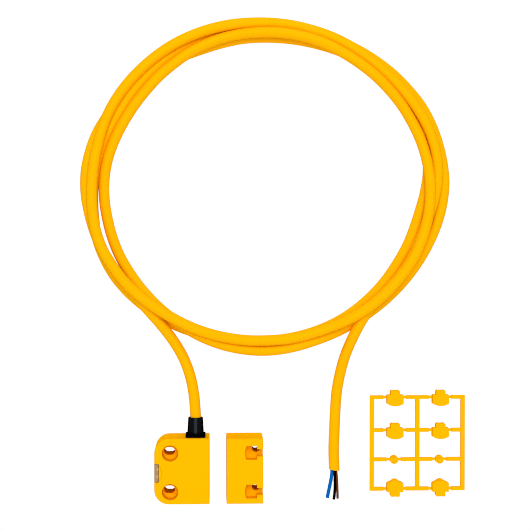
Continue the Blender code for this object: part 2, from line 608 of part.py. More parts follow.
def magnet(number, material):
    depth, long, up = MAGNET_SIZE
    left = CARRIER_LEFT + SEAT_GAP
    middle = BLOCK_DEEP - FRONT_WALL - SEAT_GAP - CARRIER_HIGH / 2
    outline = rounded(left, (number - 2) * MAGNET_PITCH - long / 2, left + depth, (number - 2) * MAGNET_PITCH + long / 2,
                      [0.3 * MM] * 4, steps=3)
    return show(f"magnet_{number}", prism("magnet", outline, middle - up / 2, middle + up / 2), material)


def cap_outline(x, y, way):
    """A cap from above: a D-shaped body and a stem. way is 1 with the stem towards +Y, -1 towards -Y."""
    half, stem_half = CAP_WIDE / 2, CAP_STEM_WIDE / 2
    radius = (half * half + CAP_CROWN * CAP_CROWN) / (2 * CAP_CROWN)
    swing = math.asin(half / radius)
    crown_y = CAP_SHOULDER - CAP_SIDE - CAP_CROWN
    arc = [swing * (2 * i / 12 - 1) for i in range(13)]
    crown = [(radius * math.sin(a), crown_y + radius - radius * math.cos(a)) for a in arc]
    tip = CAP_SHOULDER + CAP_STEM_LONG
    soft, corner = CAP_STEM_CORNER, CAP_CORNER
    top = [(half - corner, CAP_SHOULDER), (stem_half, CAP_SHOULDER), (stem_half, tip - soft), (stem_half - soft, tip),
           (0.0, tip - CAP_STEM_DIP), (-stem_half + soft, tip), (-stem_half, tip - soft), (-stem_half, CAP_SHOULDER),
           (-half + corner, CAP_SHOULDER), (-half, CAP_SHOULDER - corner)]
    points = crown + [(half, CAP_SHOULDER - corner)] + top
    return [(x + way * px, y + way * py) for px, py in points]


def cap_sprue(material):
    """One moulding: the runner frame, its gates, six plug caps for the screw pockets and two round pegs."""
    rows = [SPRUE_TOP]
    for step in ROW_STEPS:
        rows.append(rows[-1] - step)
    columns = [SPRUE_LEFT + i * COLUMN_PITCH for i in range(3)]
    left, right, top, bottom = columns[0], columns[-1], rows[0], rows[-1]
    half = BAR_WIDE / 2
    piece = show("cap_sprue", prism("bar", box_outline(left, (top + bottom) / 2, BAR_WIDE,
                                                       top - bottom + CROSSBAR_WIDE), 0.0, BAR_HIGH), material)
    for number, x in enumerate(columns[1:], 2):
        bar = box_outline(x, (top + bottom) / 2, BAR_WIDE, top - bottom + CROSSBAR_WIDE)
        add(piece, f"bar_{number}", prism("bar", bar, 0.0, BAR_HIGH))
    for row, y in enumerate(rows, 1):
        for column in (1, 2):
            start, end = columns[column - 1], columns[column]
            middle = (start + end) / 2 - (PEG_TO_LEFT if row == 3 else 0.0)
            reach = (PEG_ACROSS if row == 3 else CAP_WIDE) / 2
            for side, from_x, to_x in (("a", start, middle - reach - GATE_LONG), ("b", middle + reach + GATE_LONG, end)):
                place = (from_x + to_x) / 2
                label = f"{row}{column}{side}"
                add(piece, f"runner_{label}",
                    prism("runner", box_outline(place, y, to_x - from_x, CROSSBAR_WIDE), 0.0, BAR_HIGH - 0.02 * MM))
            gates = box_outline(middle, y, 2 * (reach + GATE_LONG) + half, GATE_WIDE)
            add(piece, f"gate_{row}{column}", prism("gate", gates, 0.1 * MM, GATE_HIGH))
            if row == 3:
                nib_top = PEG_HIGH + PEG_NIB_HIGH
                peg = [(0.0, 0.0), (PEG_ACROSS / 2, 0.0), (PEG_ACROSS / 2, PEG_HIGH), (PEG_NIB_ACROSS / 2, PEG_HIGH),
                       (PEG_NIB_ACROSS / 2, nib_top), (0.0, nib_top)]
                add(piece, f"peg_{column}", turned("peg", peg, (middle, y, 0.0), sides=20))
                continue
            way = -1 if row == 4 else 1
            add(piece, f"cap_{row}{column}", prism("cap", cap_outline(middle, y, way), 0.0, CAP_HIGH))
            if row == 4:
                crown = y - way * (CAP_SIDE + CAP_CROWN - CAP_SHOULDER)
                nose_top = CAP_HIGH - CAP_NOSE_UNDER
                nose = [(0.0, 0.0), (CAP_NOSE_ACROSS / 2, 0.0), (CAP_NOSE_ACROSS / 2, nose_top), (0.0, nose_top)]
                place = (middle, crown + way * (CAP_NOSE_ACROSS / 2 - CAP_NOSE_OUT), 0.0)
                add(piece, f"nose_{column}", turned("nose", nose, place, sides=20))
    return piece


def inner_core_route(number):
    """A core inside the housing, from the jacket's end down to its pad on the board."""
    start = BLOCK_TOP - JACKET_INSIDE - SEAT_GAP
    x, z = CABLE_X + CORE_SPREAD[number][0], CABLE_UP + CORE_SPREAD[number][1]
    pad_x = CABLE_X + CORE_PADS_BESIDE[number]
    places = [(x, start, z), ((x + pad_x) / 2, start - CORE_BENDS[0], z - 0.07 * CORE_ACROSS),
              (pad_x, CORE_PADS_Y + CORE_BENDS[1], z - 0.65 * CORE_ACROSS),
              (pad_x, CORE_PADS_Y + 0.18 * CORE_ACROSS, ON_BOARD + CORE_LANDING), (pad_x, CORE_PADS_Y, ON_BOARD)]
    return [[value / MM for value in place] for place in places]


def build():
    clear_scene()
    yellow = finish("moulded_yellow", (1.0, 0.53, 0.0), 0.42)
    jacket = finish("cable_yellow", (1.0, 0.52, 0.0), 0.5)
    rubber = finish("black_rubber", (0.02, 0.02, 0.022), 0.6)
    potting = finish("cover_yellow", (0.9, 0.47, 0.0), 0.55)
    clear = finish("window_clear", (0.75, 0.68, 0.6), 0.25)
    laminate = finish("board_laminate", (0.05, 0.22, 0.1), 0.5)
    glass = finish("reed_glass", (0.5, 0.62, 0.6), 0.15)
    lamp = finish("lamp_resin", (0.9, 0.8, 0.35), 0.3)
    ceramic = finish("resistor_black", (0.03, 0.03, 0.03), 0.5)
    rack = finish("carrier_white", (0.75, 0.75, 0.72), 0.5)
    nickel = finish("magnet_nickel", (0.6, 0.6, 0.6), 0.3, 1.0)
    core_finish = {
        "blue": finish("core_blue", (0.01, 0.16, 0.55), 0.45),
        "black": finish("core_black", (0.015, 0.015, 0.015), 0.45),
        "brown": finish("core_brown", (0.16, 0.04, 0.012), 0.45),
    }

    sensor_housing(yellow)
    sensor_rear_cover(potting)
    indicator_window(clear)
    circuit_board(laminate)
    for number, x in enumerate((BOARD_RIGHT - REED_FROM_SIDES[0], BOARD_LEFT + REED_FROM_SIDES[1]), 1):
        reed_switch(number, x, glass)
    for number, above in enumerate(LED_ABOVE_WINDOW, 1):
        indicator_led(number, WINDOW_Y + above, lamp)
    for number, below in enumerate(RESISTOR_FROM_TOP, 1):
        chip_resistor(number, BOARD_LEFT + RESISTOR_FROM_LEFT, BOARD_END - below, ceramic)
    cable_boot(rubber)

    tube("cable_lead", LEAD_ROUTE, CABLE_ACROSS, 1.4 * CABLE_ACROSS, CABLE_RESOLUTION, jacket)
    cable_coil(jacket)
    tube("cable_tail", TAIL_ROUTE, CABLE_ACROSS, 2 * CABLE_ACROSS, CABLE_RESOLUTION, jacket)
    for number, (colour, route) in enumerate(CORE_ROUTES.items()):
        tube(f"core_{colour}", route, CORE_ACROSS, 2 * CORE_ACROSS, CORE_RESOLUTION, core_finish[colour])
        tube(f"inner_core_{colour}", inner_core_route(number), CORE_ACROSS, CORE_ACROSS, CORE_RESOLUTION,
             core_finish[colour])

    actuator_housing(yellow)
    actuator_rear_cover(potting)
    magnet_carrier(rack)
    for number in (1, 2, 3):
        magnet(number, nickel)
    cap_sprue(yellow)


build()
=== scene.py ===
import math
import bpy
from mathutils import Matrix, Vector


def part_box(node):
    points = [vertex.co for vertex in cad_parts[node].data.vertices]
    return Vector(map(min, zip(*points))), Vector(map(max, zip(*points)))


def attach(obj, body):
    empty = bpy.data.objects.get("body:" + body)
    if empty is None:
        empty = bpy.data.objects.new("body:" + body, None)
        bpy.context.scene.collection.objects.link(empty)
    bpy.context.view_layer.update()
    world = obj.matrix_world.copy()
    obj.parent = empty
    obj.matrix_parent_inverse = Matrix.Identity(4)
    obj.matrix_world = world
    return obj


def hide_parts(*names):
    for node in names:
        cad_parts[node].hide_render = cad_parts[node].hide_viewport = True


bl_info = {
    "name": "Magnetic safety switch",
    "version": (1, 0, 0),
    "blender": (4, 5, 0),
    "location": "View3D > Sidebar > Switch",
    "description": "Dresses and lights the switch, its cable, its actuator and the caps on a sprue",
    "category": "Object",
}

import bmesh
import bpy
from bpy.props import FloatProperty, FloatVectorProperty, PointerProperty
from bpy.types import Operator, Panel, PropertyGroup
from mathutils import Matrix, Vector

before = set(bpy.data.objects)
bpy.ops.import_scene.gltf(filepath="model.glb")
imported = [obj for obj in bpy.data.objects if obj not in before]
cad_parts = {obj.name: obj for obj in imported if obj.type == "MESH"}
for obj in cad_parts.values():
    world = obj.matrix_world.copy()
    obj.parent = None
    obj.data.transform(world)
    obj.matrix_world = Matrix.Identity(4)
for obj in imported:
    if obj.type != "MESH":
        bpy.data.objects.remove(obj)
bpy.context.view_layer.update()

MM = 0.001

# The cable's centreline in millimetres: out of the boot, nearly four times round the coil, and
# down to its cut end
CABLE_ROUTE = [
    (6.4, 10.0, 11.0), (6.4, 14.5, 11.0), (6.42, 19.5, 11.0), (6.44, 24.5, 11.0),
    (6.4, 26.0, 10.8), (5.6, 35.4, 9.6), (3.7, 44.5, 7.5), (0.3, 53.1, 5.4),
    (-4.5, 61.2, 5.5), (-10.2, 68.8, 6.6), (-16.4, 75.9, 7.1), (-22.6, 83.1, 7.0),
    (-28.6, 90.5, 6.9), (-34.1, 98.2, 6.9), (-38.9, 106.4, 7.1), (-42.3, 115.3, 7.1),
    (-44.7, 124.5, 6.8), (-46.0, 133.8, 6.2), (-45.7, 143.3, 5.3), (-43.7, 152.5, 4.2),
    (-40.4, 161.3, 3.0), (-35.4, 169.4, 2.6), (-29.6, 176.8, 2.6), (-22.9, 183.6, 2.5),
    (-15.3, 189.3, 2.5), (-7.2, 194.2, 2.5), (1.5, 198.2, 2.5), (10.4, 201.4, 2.5),
    (19.5, 204.2, 2.5), (28.8, 206.2, 2.5), (38.2, 206.9, 2.5), (47.7, 206.7, 2.5),
    (57.2, 205.6, 2.5), (66.4, 203.6, 2.5), (75.5, 200.8, 2.5), (84.1, 196.6, 2.5),
    (91.9, 191.2, 2.5), (99.0, 185.0, 2.5), (105.5, 178.1, 2.5), (111.0, 170.3, 2.5),
    (115.3, 161.9, 2.5), (118.2, 152.8, 2.5), (119.1, 143.4, 2.5), (118.0, 134.0, 2.5),
    (115.6, 124.8, 2.5), (112.7, 115.7, 2.5), (109.2, 106.9, 2.5), (104.6, 98.6, 2.5),
    (99.3, 90.7, 2.5), (93.1, 83.5, 2.5), (86.1, 77.1, 2.5), (78.4, 71.6, 2.5),
    (70.0, 67.2, 2.5), (61.1, 63.9, 2.5), (51.9, 61.7, 2.5), (42.4, 60.5, 2.5),
    (32.9, 60.3, 2.5), (23.5, 61.0, 2.5), (14.1, 62.6, 2.5), (4.9, 65.1, 2.5),
    (-3.9, 68.5, 2.5), (-12.2, 73.1, 2.5), (-19.9, 78.7, 2.5), (-26.9, 85.1, 2.5),
    (-32.9, 92.5, 2.5), (-37.5, 100.8, 2.5), (-40.8, 109.7, 2.5), (-42.4, 119.0, 2.5),
    (-42.9, 128.5, 2.6), (-42.4, 138.0, 2.6), (-40.6, 147.3, 2.9), (-37.7, 156.3, 3.8),
    (-33.5, 164.7, 5.0), (-28.6, 172.8, 6.1), (-23.1, 180.5, 6.8), (-16.7, 187.5, 7.2),
    (-9.8, 194.0, 7.1), (-2.1, 199.6, 6.5), (6.2, 204.1, 5.5), (14.9, 207.6, 4.4),
    (24.1, 210.0, 4.0), (33.5, 211.2, 4.0), (43.0, 211.5, 3.9), (52.5, 211.0, 3.8),
    (61.8, 209.2, 4.4), (70.8, 206.5, 5.2), (79.7, 202.9, 5.5), (88.1, 198.6, 5.3),
    (96.1, 193.5, 4.5), (103.5, 187.7, 3.4), (110.1, 181.0, 2.7), (116.0, 173.5, 2.6),
    (120.5, 165.1, 2.6), (123.8, 156.2, 2.5), (126.0, 147.0, 2.5), (127.0, 137.6, 2.5),
    (126.2, 128.1, 2.5), (124.0, 118.9, 2.5), (120.5, 110.0, 2.5), (116.1, 101.6, 2.5),
    (110.8, 93.8, 2.6), (104.7, 86.5, 2.6), (97.8, 79.9, 2.9), (90.3, 74.2, 3.8),
    (82.3, 69.1, 4.8), (73.9, 64.8, 5.4), (65.1, 61.3, 5.4), (56.1, 58.4, 5.0),
    (46.7, 56.5, 4.7), (37.3, 56.0, 5.0), (27.9, 57.0, 5.9), (18.7, 59.2, 6.7),
    (9.8, 62.7, 7.1), (1.5, 67.2, 7.1), (-6.2, 72.7, 6.4), (-13.3, 78.9, 5.1),
    (-19.7, 85.8, 3.6), (-25.3, 93.4, 2.8), (-30.1, 101.6, 2.6), (-33.6, 110.4, 2.6),
    (-36.0, 119.6, 2.6), (-37.4, 129.0, 2.7), (-37.4, 138.4, 3.2), (-35.7, 147.7, 4.5),
    (-32.5, 156.5, 5.9), (-28.2, 164.9, 7.0), (-23.1, 172.9, 7.8), (-17.3, 180.3, 8.6),
    (-10.8, 187.3, 9.1), (-3.6, 193.4, 9.1), (4.2, 198.9, 8.8), (12.6, 203.1, 8.3),
    (21.6, 206.2, 8.1), (30.9, 207.8, 8.9), (40.4, 208.3, 9.8), (49.8, 207.6, 10.5),
    (59.1, 205.8, 11.1), (68.1, 202.8, 11.4), (76.6, 198.6, 11.5), (84.7, 193.6, 11.2),
    (92.3, 187.9, 10.4), (99.1, 181.5, 9.0), (105.3, 174.4, 7.4), (110.4, 166.4, 6.7),
    (114.5, 157.9, 6.9), (117.4, 148.9, 7.3), (119.0, 139.5, 8.1), (119.2, 130.1, 8.8),
    (118.1, 120.7, 9.3), (115.7, 111.5, 9.6), (112.1, 102.7, 10.0), (107.0, 94.7, 10.6),
    (101.0, 87.4, 11.5), (94.1, 81.0, 12.4), (86.5, 75.3, 12.5), (78.3, 70.7, 11.5),
    (69.7, 67.0, 9.6), (60.8, 64.0, 8.2), (51.6, 61.9, 7.5), (42.1, 61.1, 7.4),
    (32.6, 61.1, 8.1), (23.3, 62.2, 9.4), (14.1, 64.3, 10.5), (5.2, 67.4, 11.2),
    (-3.4, 71.6, 11.2), (-11.6, 76.4, 11.2), (-19.3, 82.0, 11.4), (-26.2, 88.4, 11.6),
    (-32.1, 95.8, 11.6), (-37.1, 103.9, 11.7), (-40.5, 112.8, 11.7), (-42.2, 122.1, 11.3),
    (-42.8, 131.5, 10.4), (-42.4, 141.0, 9.2), (-41.0, 150.3, 8.4), (-38.6, 159.5, 8.3),
    (-35.4, 168.4, 8.5), (-30.8, 176.7, 8.9), (-25.1, 184.3, 9.5), (-18.5, 191.1, 10.0),
    (-11.2, 197.2, 10.2), (-3.3, 202.4, 10.1), (5.2, 206.6, 9.6), (14.1, 209.8, 8.9),
    (23.4, 211.9, 8.5), (32.8, 212.8, 8.5), (42.3, 212.8, 8.5), (51.8, 211.8, 8.7),
    (61.0, 209.7, 9.2), (70.0, 206.7, 9.8), (78.6, 202.7, 10.0), (86.7, 197.7, 9.7),
    (94.3, 192.1, 9.0), (101.4, 185.9, 7.9), (108.0, 179.1, 6.9), (113.7, 171.6, 6.5),
    (118.4, 163.3, 6.5), (121.6, 154.4, 6.4), (123.2, 145.0, 6.1), (123.0, 135.6, 5.3),
    (121.0, 126.3, 4.7), (117.8, 117.4, 4.8), (114.4, 108.5, 5.0), (110.4, 99.9, 5.4),
    (105.0, 92.1, 5.9), (98.8, 85.0, 6.8), (92.0, 78.5, 8.1), (86.4, 70.9, 8.7),
    (82.0, 62.5, 8.0), (78.6, 53.9, 5.9), (76.3, 44.9, 3.7), (74.7, 35.6, 2.7),
    (74.0, 26.1, 2.6), (73.6, 16.7, 2.6), (73.3, 7.2, 2.5), (73.6, -2.3, 2.5),
]
CABLE_STEPS = 4  # places on the smooth line from one point of the route to the next
CABLE_SIDES = 28
CUT_SLOPE = 0.19  # how far the cable's cut end is out of square

# The three cores that stand out of the cut end: how thick each is and its route, in millimetres
CORE_ROUTES = {
    "blue": (1.65, [(72.50, 0.00, 2.4), (72.51, -3.04, 2.4), (72.19, -6.55, 1.9),
                    (71.47, -10.57, 1.3), (70.70, -14.56, 0.88), (70.35, -16.35, 0.83)]),
    "black": (1.35, [(73.80, 0.00, 3.1), (73.80, -2.92, 3.1), (73.87, -6.41, 2.7),
                     (74.01, -10.45, 2.0), (73.86, -14.54, 1.1), (73.56, -17.15, 0.68)]),
    "brown": (1.15, [(74.60, 0.00, 1.85), (74.61, -3.15, 1.85), (74.93, -6.63, 1.6),
                     (75.17, -10.62, 1.2), (75.36, -14.63, 0.75), (75.43, -16.82, 0.58)]),
}
CORE_PAINTS = {"blue": (0.0, 0.108, 0.43), "black": (0.001, 0.001, 0.0014),
               "brown": (0.14, 0.03, 0.002)}
CORE_STEPS = 10
CORE_SIDES = 20
CORE_RIPPLE = 0.035  # the share of its radius by which a core swells and narrows on its way
CORE_RIPPLE_TURN = 0.9  # radians of that ripple from one place on the line to the next
CORE_TIP = 0.93  # the last place's share of the radius
INNER_CORE_PAINTS = {"blue": (0.0, 0.14, 0.62), "black": (0.01, 0.01, 0.011),
                     "brown": (0.2, 0.055, 0.008)}

# Strain relief
BOOT_EDGE = 0.12 * MM  # rounding of its edges
BOOT_GLOSS_TINT = (0.7, 0.86, 1.0)
FLANGE_OUT = 1.6 * MM  # how far the flange stands out of the sensor's end
SHINE_FROM, SHINE_TO = -0.3 * MM, 1.5 * MM  # where the sleeve's shine sets in, past the flange
SLEEVE_SHINE = 0.16

# Indicator window: painted light, the glow of the two lamps behind it laid into its colour as
# bright spots
LAMP_GLOW_INSET = 0.4 * MM  # in from the window's right edge
LAMP_GLOW_DROP = 0.3 * MM  # below the middle of the lamp
LAMP_GLOW_REACH = (0.1 * MM, 0.75 * MM)  # from full strength to none
LAMP_GLOW_STRENGTH = 0.55
LAMP_GLOW_COLOUR = (0.80, 0.50, 0.14)

# Finishes
YELLOW_GLOSS_TINT = (1.0, 0.55, 0.02)  # yellow plastic reflects in its own colour
COVER_SHADE = 0.92  # how bright the rear covers are beside the housings
GRAIN_BUMP = 0.35
GRAIN_SCALE, GRAIN_DETAIL = 5200.0, 3.0
GRAIN_IN_ROUGHNESS = 0.18
CLOUD_SCALE, CLOUD_DETAIL = 95.0, 2.5
RUB_DETAIL, RUB_BREAKUP = 6.0, 0.65
RUB_RANGE = (0.52, 0.78)  # the part of the noise in which bare becomes rubbed
NOISE_MIDDLE = 0.5
GLOSS_FADE = (0.05, 0.45)  # how far a quiet edge has turned from the eye as its gloss goes
MIX_UNDER, MIX_OVER, MIX_RESULT = 6, 7, 2  # the colour sockets of a Mix node
FLAT_WITHIN = math.radians(0.8)  # faces that lie this flat are joined before the rounding
ROUND_ABOVE = math.radians(38.0)
ROUND_SEGMENTS = 3
SHARP_ABOVE = math.radians(50.0)

# Camera, floor and light. The camera and its aim are in millimetres, the rest is in metres
CAMERA_PLACE = (16.0, 110.0, 615.0)
CAMERA_AIM = (39.981, 97.17, 0.0)
CAMERA_FILM = 36.0  # width, in millimetres
UPRIGHT = (0.0, 1.0, 0.0)  # the bench direction that points up in the picture
DIFFUSE_BOUNCES = 7  # the recesses are lit by their own yellow walls
ALL_BOUNCES = 16
PIXEL_FILTER = 1.0
FLOOR_RADIUS = 3.0
FLOOR_SIDES = 64
FLOOR_MIDDLE = (0.04, 0.1, -0.0002)  # a little under the object
FLOOR_ROUGHNESS, FLOOR_GLOSS = 0.9, 0.1
LIT_MIDDLE = (0.04, 0.08, 0.0)  # what the lights face
# Each softbox: its place, how wide it is, and its power as a share of the far one's
SOFTBOXES = {
    "far_softbox": ((0.03, 0.72, 1.3), 1.0, 1.0),
    "overhead_softbox": ((0.03, 0.05, 1.3), 0.6, 0.38),
    "near_softbox": ((0.03, -1.0, 0.6), 1.0, 0.42),
    "low_softbox": ((0.03, 1.4, 0.38), 0.6, 0.2),
}


# ---------------------------------------------------------------- settings

class CableSettings(PropertyGroup):
    across: FloatProperty(
        name="Thickness", description="Outer diameter of the jacket",
        default=5.1 * MM, min=2 * MM, max=8 * MM, unit="LENGTH")
    length: FloatProperty(
        name="Length", description="Whole length of the cable, boot to cut end",
        default=2.0, min=1.8, max=2.2, unit="LENGTH")
    colour: FloatVectorProperty(
        name="Jacket", description="Colour of the jacket",
        default=(0.89, 0.408, 0.0), min=0.0, max=1.0, size=3, subtype="COLOR")
    gloss: FloatProperty(
        name="Roughness", description="How matt the jacket is",
        default=0.46, min=0.0, max=1.0, subtype="FACTOR")


class MouldingSettings(PropertyGroup):
    colour: FloatVectorProperty(
        name="Yellow", description="Colour of the moulded housings and caps",
        default=(0.89, 0.412, 0.0), min=0.0, max=1.0, size=3, subtype="COLOR")
    rubber: FloatVectorProperty(
        name="Boot", description="Colour of the strain relief",
        default=(0.001, 0.0012, 0.0016), min=0.0, max=1.0, size=3, subtype="COLOR")
    window: FloatVectorProperty(
        name="Window", description="Colour of the indicator window",
        default=(0.31, 0.183, 0.07), min=0.0, max=1.0, size=3, subtype="COLOR")
    edge: FloatProperty(
        name="Edge radius", description="Rounding of the mouldings' cut edges",
        default=0.16 * MM, min=0.02 * MM, max=0.5 * MM, unit="LENGTH")


class StageSettings(PropertyGroup):
    floor: FloatVectorProperty(
        name="Floor", description="Colour of the floor",
        default=(0.93, 0.93, 0.93), min=0.0, max=1.0, size=3, subtype="COLOR")
    key: FloatProperty(
        name="Far light", description="Power of the large light beyond the bench",
        default=12.8, min=0.0, max=200.0, unit="POWER")
    sky: FloatProperty(
        name="Surroundings", description="Brightness of the surroundings",
        default=0.33, min=0.0, max=3.0)
    lens: FloatProperty(
        name="Lens", description="Focal length of the camera, in millimetres",
        default=86.09, min=20.0, max=300.0, unit="CAMERA")


# ---------------------------------------------------------------- materials

def new_group(name, inputs, outputs):
    """An empty shader node group with the named sockets, and its two end nodes."""
    group = bpy.data.node_groups.new(name, "ShaderNodeTree")
    for socket, kind, value in inputs:
        made = group.interface.new_socket(socket, in_out="INPUT", socket_type=kind)
        made.default_value = value
    for socket, kind in outputs:
        group.interface.new_socket(socket, in_out="OUTPUT", socket_type=kind)
    return group, group.nodes.new("NodeGroupInput"), group.nodes.new("NodeGroupOutput")


def feed(tree, node, inputs):
    """Gives each input, by its name or number, another node's output or a plain value."""
    for key, value in inputs.items():
        if isinstance(value, bpy.types.NodeSocket):
            tree.links.new(value, node.inputs[key])
        else:
            node.inputs[key].default_value = value


def put(tree, kind, inputs=(), **settings):
    """A node with its settings and what goes into it."""
    node = tree.nodes.new(kind)
    for key, value in settings.items():
        setattr(node, key, value)
    feed(tree, node, dict(inputs))
    return node


def maths(tree, operation, *values):
    """The result of one Math node."""
    return put(tree, "ShaderNodeMath", enumerate(values), operation=operation).outputs[0]


def ramp(tree, value, span, result, interpolation="SMOOTHSTEP", name="Ramp"):
    """Turns the value's span into the result's, and holds it at both ends."""
    inputs = {"Value": value, "From Min": span[0], "From Max": span[1],
              "To Min": result[0], "To Max": result[1]}
    node = put(tree, "ShaderNodeMapRange", inputs, interpolation_type=interpolation, name=name)
    return node.outputs["Result"]


def laid_over(tree, under, over, amount):
    """One colour laid over another by an amount."""
    inputs = {"Factor": amount, MIX_UNDER: under, MIX_OVER: over}
    return put(tree, "ShaderNodeMix", inputs, data_type="RGBA").outputs[MIX_RESULT]


def place_on_piece(tree):
    """Where on its piece each point of the surface lies."""
    return put(tree, "ShaderNodeTexCoord").outputs["Object"]


def moulded_grain():
    """Spark-eroded grain of a moulding tool, with faint flow clouds in the colour."""
    name = "Moulded grain"
    if name in bpy.data.node_groups:
        return bpy.data.node_groups[name]
    group, start, end = new_group(
        name,
        [("Color", "NodeSocketColor", (1, 0.5, 0, 1)), ("Roughness", "NodeSocketFloat", 0.45),
         ("Grain", "NodeSocketFloat", 0.5), ("Clouds", "NodeSocketFloat", 0.04)],
        [("Color", "NodeSocketColor"), ("Roughness", "NodeSocketFloat"),
         ("Height", "NodeSocketFloat")])
    here = place_on_piece(group)
    fine = put(group, "ShaderNodeTexNoise",
               {"Vector": here, "Scale": GRAIN_SCALE, "Detail": GRAIN_DETAIL}).outputs["Fac"]
    broad = put(group, "ShaderNodeTexNoise",
                {"Vector": here, "Scale": CLOUD_SCALE, "Detail": CLOUD_DETAIL}).outputs["Fac"]
    cloud = maths(group, "MULTIPLY", maths(group, "SUBTRACT", broad, NOISE_MIDDLE),
                  start.outputs["Clouds"])
    shade = put(group, "ShaderNodeHueSaturation",
                {"Color": start.outputs["Color"], "Value": maths(group, "ADD", cloud, 1.0)})
    rough = maths(group, "MULTIPLY_ADD", maths(group, "SUBTRACT", fine, NOISE_MIDDLE),
                  GRAIN_IN_ROUGHNESS, start.outputs["Roughness"])
    feed(group, end, {"Color": shade.outputs["Color"], "Roughness": rough,
                      "Height": maths(group, "MULTIPLY", fine, start.outputs["Grain"])})
    return group


def handling_marks():
    """Rubbed, slightly paler patches and thin dust."""
    name = "Handling marks"
    if name in bpy.data.node_groups:
        return bpy.data.node_groups[name]
    group, start, end = new_group(
        name,
        [("Color", "NodeSocketColor", (1, 1, 1, 1)),
         ("Dust", "NodeSocketColor", (0.8, 0.78, 0.74, 1)),
         ("Amount", "NodeSocketFloat", 0.1), ("Scale", "NodeSocketFloat", 160.0)],
        [("Color", "NodeSocketColor")])
    patch = put(group, "ShaderNodeTexNoise",
                {"Vector": place_on_piece(group), "Scale": start.outputs["Scale"],
                 "Detail": RUB_DETAIL, "Roughness": RUB_BREAKUP}).outputs["Fac"]
    rubbed = ramp(group, patch, RUB_RANGE, (0.0, 1.0), interpolation="LINEAR")
    amount = maths(group, "MULTIPLY", rubbed, start.outputs["Amount"])
    marked = laid_over(group, start.outputs["Color"], start.outputs["Dust"], amount)
    feed(group, end, {"Color": marked})
    return group


def surface(name, colour, roughness, grain=0.5, clouds=0.04, depth=0.02, dust=0.05,
            dust_scale=160.0, metallic=0.0, specular=0.5, tint=None, quiet_edge=False):
    """A finish made of the two shared groups and one Principled shader. The depth of the grain is
    in millimetres. With quiet_edge the gloss fades where the surface turns away from the eye."""
    made = bpy.data.materials.new(name)
    made.use_nodes = True
    tree = made.node_tree
    shader = tree.nodes["Principled BSDF"]
    base = put(tree, "ShaderNodeGroup", node_tree=moulded_grain())
    feed(tree, base, {"Color": (*colour, 1.0), "Roughness": roughness, "Grain": grain,
                      "Clouds": clouds})
    marks = put(tree, "ShaderNodeGroup", node_tree=handling_marks())
    feed(tree, marks, {"Color": base.outputs["Color"], "Amount": dust, "Scale": dust_scale})
    bump = put(tree, "ShaderNodeBump", {"Strength": GRAIN_BUMP, "Distance": depth * MM,
                                        "Height": base.outputs["Height"]})
    feed(tree, shader, {"Base Color": marks.outputs["Color"],
                        "Roughness": base.outputs["Roughness"],
                        "Normal": bump.outputs["Normal"],
                        "Metallic": metallic, "Specular IOR Level": specular})
    if quiet_edge:
        facing = put(tree, "ShaderNodeLayerWeight").outputs["Facing"]
        fade = ramp(tree, facing, GLOSS_FADE, (specular, 0.0), name="Gloss fade")
        feed(tree, shader, {"Specular IOR Level": fade})
    if tint:
        feed(tree, shader, {"Specular Tint": (*tint, 1.0)})
    return made


def moulded_yellow(plan):
    """The yellow of the housings and the caps, made once."""
    name = "Moulded yellow"
    if name in bpy.data.materials:
        return bpy.data.materials[name]
    return surface(name, plan.colour, roughness=0.44, grain=0.6, clouds=0.03, depth=0.004,
                   dust=0.0, specular=0.15, tint=YELLOW_GLOSS_TINT, quiet_edge=True)


def cover_yellow(name, plan):
    """The yellow of a rear cover, a little darker and rougher than its housing's."""
    return surface(name, [COVER_SHADE * part for part in plan.colour], roughness=0.55, grain=0.8)


def painted_lamp_glow(material, places):
    """Painted light: soft bright spots laid into a cloudy window's colour where the lamps stand
    close behind it, standing in for their glow through it.
    """
    tree = material.node_tree
    shader = tree.nodes["Principled BSDF"]
    shade = shader.inputs["Base Color"].links[0].from_socket
    here = place_on_piece(tree)
    for place in places:
        # each spot is painted glow, at full strength over the lamp and gone at its reach
        away = put(tree, "ShaderNodeVectorMath", {0: here, 1: place}, operation="DISTANCE")
        glow = ramp(tree, away.outputs["Value"], LAMP_GLOW_REACH, (LAMP_GLOW_STRENGTH, 0.0))
        shade = laid_over(tree, shade, (*LAMP_GLOW_COLOUR, 1.0), glow)
    feed(tree, shader, {"Base Color": shade})


def matt_flange(rubber):
    """Leaves the sleeve its soft shine and takes it off the flange at its root."""
    tree = rubber.node_tree
    flange_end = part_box("sensor_housing")[1].y + FLANGE_OUT
    along = put(tree, "ShaderNodeSeparateXYZ", {0: place_on_piece(tree)}).outputs["Y"]
    shine = ramp(tree, along, (flange_end + SHINE_FROM, flange_end + SHINE_TO),
                 (0.0, SLEEVE_SHINE))
    feed(tree, tree.nodes["Gloss fade"], {"To Min": shine})


def wear(node_name, material):
    """Gives a CAD piece its finish."""
    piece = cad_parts[node_name]
    if not piece.material_slots:
        piece.data.materials.append(material)
    for slot in piece.material_slots:
        slot.material = material
    return piece


def soften(piece, radius):
    """Rounds the cut edges of a moulded piece."""
    flat = piece.modifiers.new("Join flat faces", "DECIMATE")
    flat.decimate_type = "DISSOLVE"
    flat.angle_limit = FLAT_WITHIN
    edge = piece.modifiers.new("Rounded edges", "BEVEL")
    edge.width = radius
    edge.segments = ROUND_SEGMENTS
    edge.limit_method = "ANGLE"
    edge.angle_limit = ROUND_ABOVE
    edge.use_clamp_overlap = True
    edge.harden_normals = True


# ---------------------------------------------------------------- shapes

def smooth_line(points, steps):
    """A Catmull-Rom line through points in millimetres, as vectors in metres."""
    given = [Vector(point) * MM for point in points]
    padded = [2 * given[0] - given[1], *given, 2 * given[-1] - given[-2]]
    line = []
    for a, b, c, d in zip(padded, padded[1:], padded[2:], padded[3:]):
        for step in range(steps):
            t = step / steps
            line.append(0.5 * (2 * b + (c - a) * t + (2 * a - 5 * b + 4 * c - d) * t * t
                               + (3 * b - a - 3 * c + d) * t * t * t))
    line.append(given[-1])
    return line


